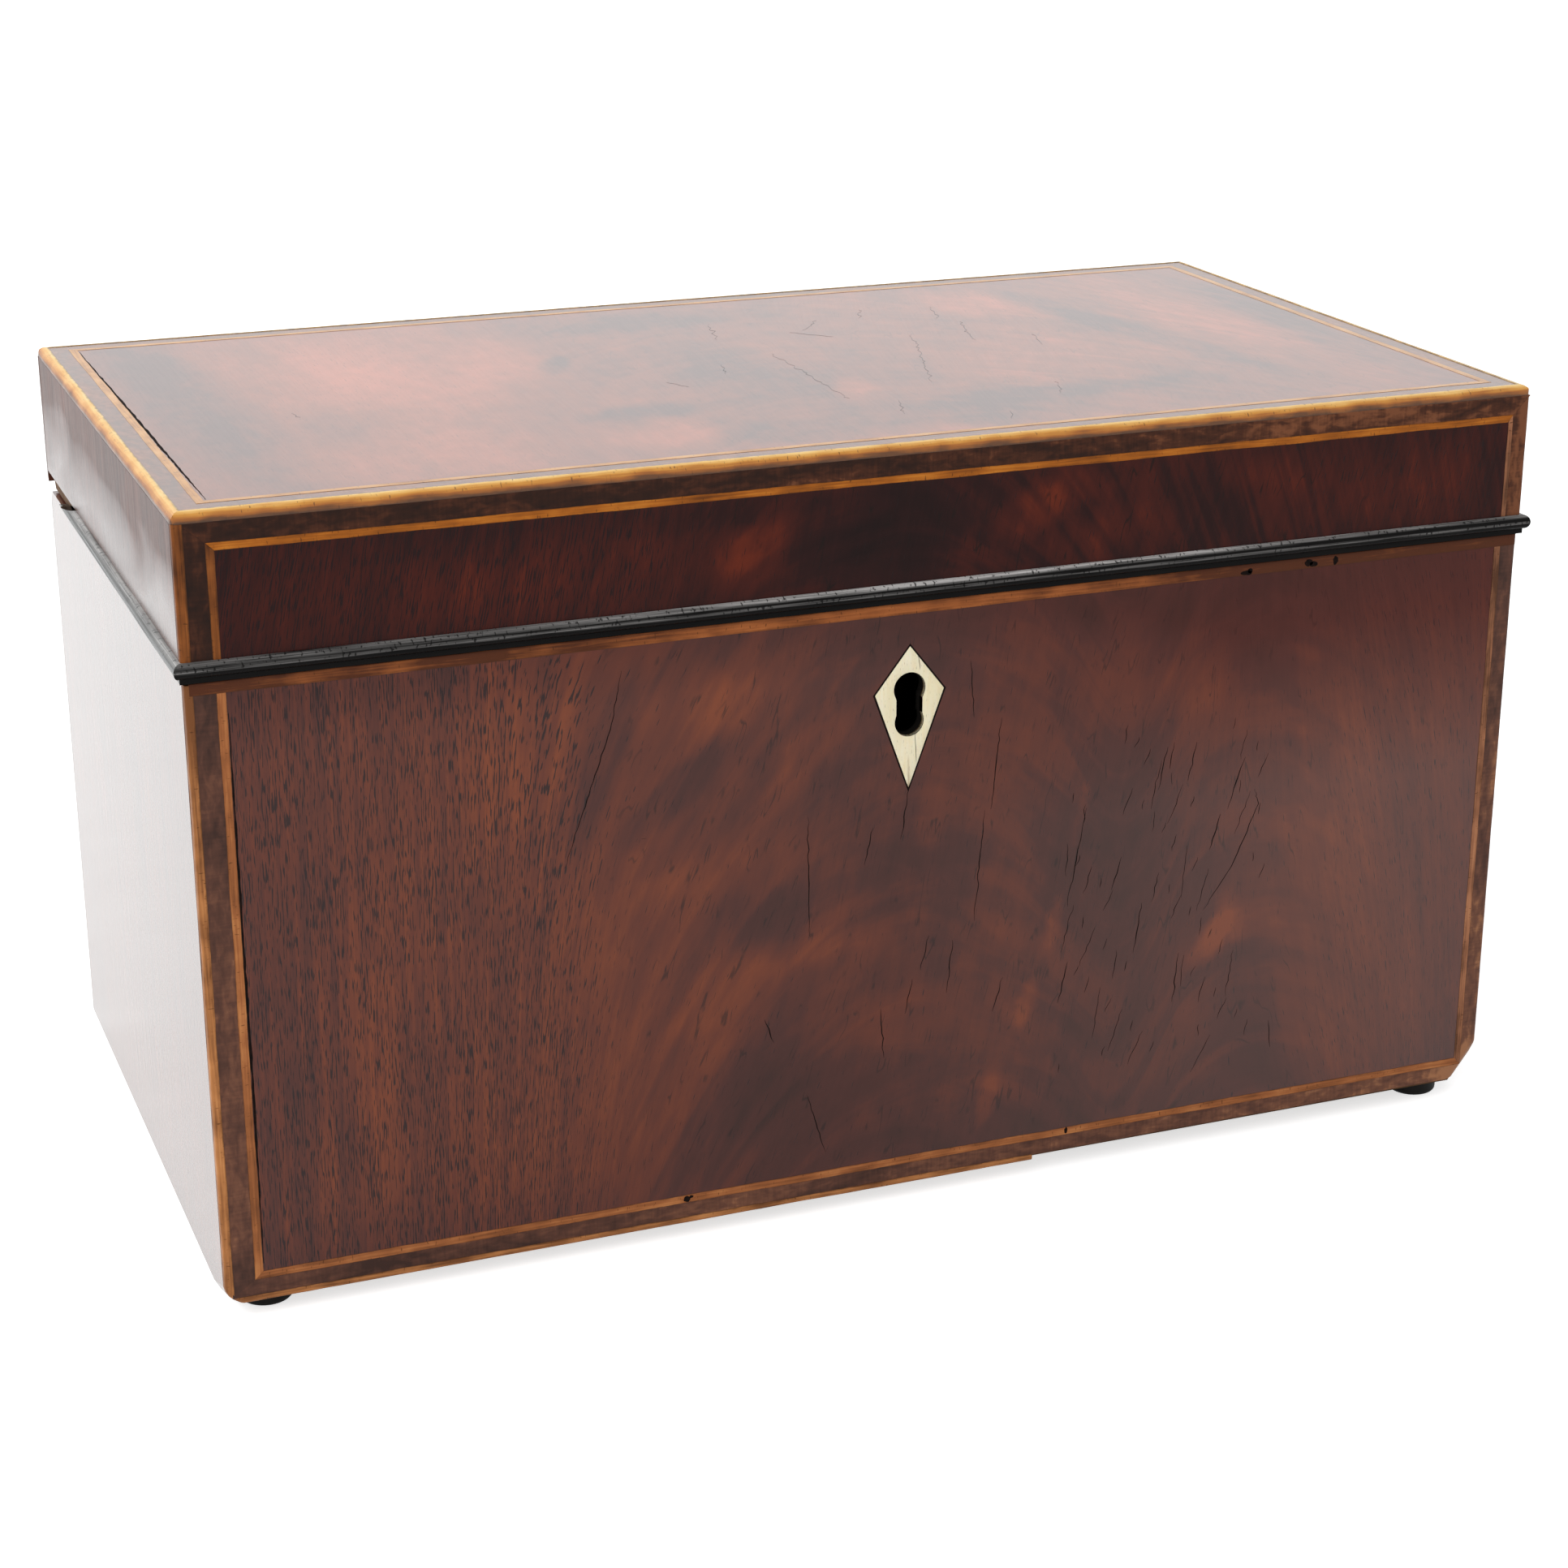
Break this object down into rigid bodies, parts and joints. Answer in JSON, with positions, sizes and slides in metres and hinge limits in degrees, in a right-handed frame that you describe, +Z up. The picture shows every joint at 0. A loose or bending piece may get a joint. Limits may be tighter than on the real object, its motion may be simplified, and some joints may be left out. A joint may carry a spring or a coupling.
{
  "type": "tea caddy",
  "caption": "Rectangular veneered tea caddy on button feet: hinged lid with ebonised bead, bone escutcheon, box lock, lead-lined compartments under lift-out inner lids.",
  "frame": {"origin": "on the floor under the middle of the caddy, in the plane of the feet", "axes": "+X to the right along the front, +Y to the hinged back, +Z up"},
  "size_m": [0.2224, 0.1202, 0.1267],
  "materials": {
    "flame_mahogany": "figured crotch mahogany veneer, French polished",
    "plain_mahogany": "straight-grained mahogany veneer, French polished",
    "crossbanding": "dark cross-grained banding, polished and worn",
    "boxwood": "boxwood line, yellowed under polish",
    "ebonised_wood": "black-stained turned and moulded wood, worn grey on edges",
    "bone": "polished bone",
    "carcass_wood": "planed softwood, oxidised brown",
    "interior_mahogany": "planed mahogany, waxed",
    "tea_lead": "dull grey lead and tin sheet",
    "brass": "old brass, dulled",
    "iron_screws": "dark iron screws, slotted"
  },
  "bodies": {
    "box": {"back_board": "carcass_wood", "back_liner": "interior_mahogany", "back_veneer": "plain_mahogany", "divider": "interior_mahogany", "escutcheon": "bone", "floor_board": "carcass_wood", "foot_back_left": "ebonised_wood", "foot_back_right": "ebonised_wood", "foot_front_left": "ebonised_wood", "foot_front_right": "ebonised_wood", "front_banding": "crossbanding", "front_board": "carcass_wood", "front_edging": "boxwood", "front_liner": "interior_mahogany", "front_stringing": "boxwood", "front_veneer": "flame_mahogany", "hinge_leaf_body_left": "brass", "hinge_leaf_body_right": "brass", "hinge_pins": "brass", "hinge_screws_body": "iron_screws", "left_board": "carcass_wood", "left_liner": "interior_mahogany", "left_tea_lead": "tea_lead", "left_veneer": "plain_mahogany", "lock_case": "brass", "lock_cover": "brass", "lock_screws": "iron_screws", "right_board": "carcass_wood", "right_liner": "interior_mahogany", "right_tea_lead": "tea_lead", "right_veneer": "plain_mahogany"},
    "lid": {"front_moulding": "ebonised_wood", "hinge_leaf_lid_left": "brass", "hinge_leaf_lid_right": "brass", "hinge_screws_lid": "iron_screws", "left_moulding": "ebonised_wood", "lid_back_rail": "carcass_wood", "lid_back_veneer": "plain_mahogany", "lid_edging": "boxwood", "lid_front_banding": "crossbanding", "lid_front_rail": "carcass_wood", "lid_front_stringing": "boxwood", "lid_front_veneer": "flame_mahogany", "lid_left_rail": "carcass_wood", "lid_left_veneer": "plain_mahogany", "lid_lining": "interior_mahogany", "lid_right_rail": "carcass_wood", "lid_right_veneer": "plain_mahogany", "lid_top_banding": "crossbanding", "lid_top_board": "carcass_wood", "lid_top_stringing": "boxwood", "lid_top_veneer": "flame_mahogany", "link_plate": "brass", "link_plate_screws": "iron_screws", "right_moulding": "ebonised_wood"},
    "inner_lid_left": {"inner_lid_left": "interior_mahogany", "knob_left": "bone"},
    "inner_lid_right": {"inner_lid_right": "interior_mahogany", "knob_right": "bone"},
    "lock_bolt": {"lock_bolt": "brass"}
  },
  "joints": [
    {"name": "lid_hinge", "type": "hinge", "parent": "box", "child": "lid", "pos_m": [0, 0.0581, 0.1019], "axis": [-1, 0, 0], "range_deg": [0, 95]},
    {"name": "inner_lid_left_lift", "type": "slide", "parent": "box", "child": "inner_lid_left", "axis": [0, 0, 1], "range_m": [0, 0.014]},
    {"name": "inner_lid_right_lift", "type": "slide", "parent": "box", "child": "inner_lid_right", "axis": [0, 0, 1], "range_m": [0, 0.014]},
    {"name": "lock_bolt_throw", "type": "slide", "parent": "box", "child": "lock_bolt", "axis": [1, 0, 0], "range_m": [0, 0.005]}
  ]
}
